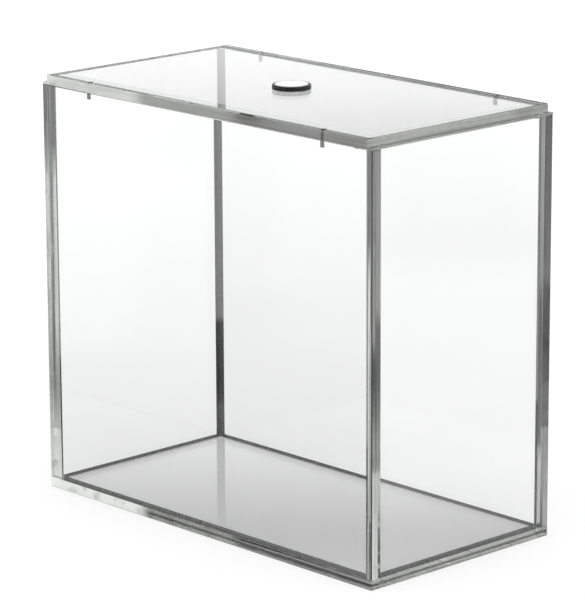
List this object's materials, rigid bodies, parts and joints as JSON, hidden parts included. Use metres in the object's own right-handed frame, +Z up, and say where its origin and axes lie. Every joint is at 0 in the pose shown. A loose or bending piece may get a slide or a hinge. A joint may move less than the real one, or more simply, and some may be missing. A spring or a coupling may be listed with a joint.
{
  "type": "collectible display case",
  "caption": "Clear rectangular display case for a boxed collectible, with a loose flat lid that slides along the rim and is held down by small magnets.",
  "frame": {"origin": "middle of the case's underside, on the surface it stands on", "axes": "+X along the case's length, the way the lid slides open; +Y from the front panel to the back panel; +Z up"},
  "size_m": [0.206, 0.107, 0.1917],
  "materials": {
    "clear_acrylic": "clear cast acrylic sheet, polished edges",
    "magnet_nickel": "nickel plated",
    "badge_black": "gloss black",
    "badge_white": "plain gloss white"
  },
  "bodies": {
    "case": {"floor_panel": "clear_acrylic", "front_panel": "clear_acrylic", "back_panel": "clear_acrylic", "left_end_panel": "clear_acrylic", "right_end_panel": "clear_acrylic", "rim_magnet_front_left": "magnet_nickel", "rim_magnet_front_right": "magnet_nickel", "rim_magnet_back_left": "magnet_nickel", "rim_magnet_back_right": "magnet_nickel"},
    "lid": {"lid_panel": "clear_acrylic", "lid_magnet_front_left": "magnet_nickel", "lid_magnet_front_right": "magnet_nickel", "lid_magnet_back_left": "magnet_nickel", "lid_magnet_back_right": "magnet_nickel", "badge_base": "badge_black", "badge_inlay": "badge_white"}
  },
  "joints": [
    {"name": "lid_slide", "type": "slide", "parent": "case", "child": "lid", "axis": [1, 0, 0], "range_m": [0, 0.1]}
  ]
}
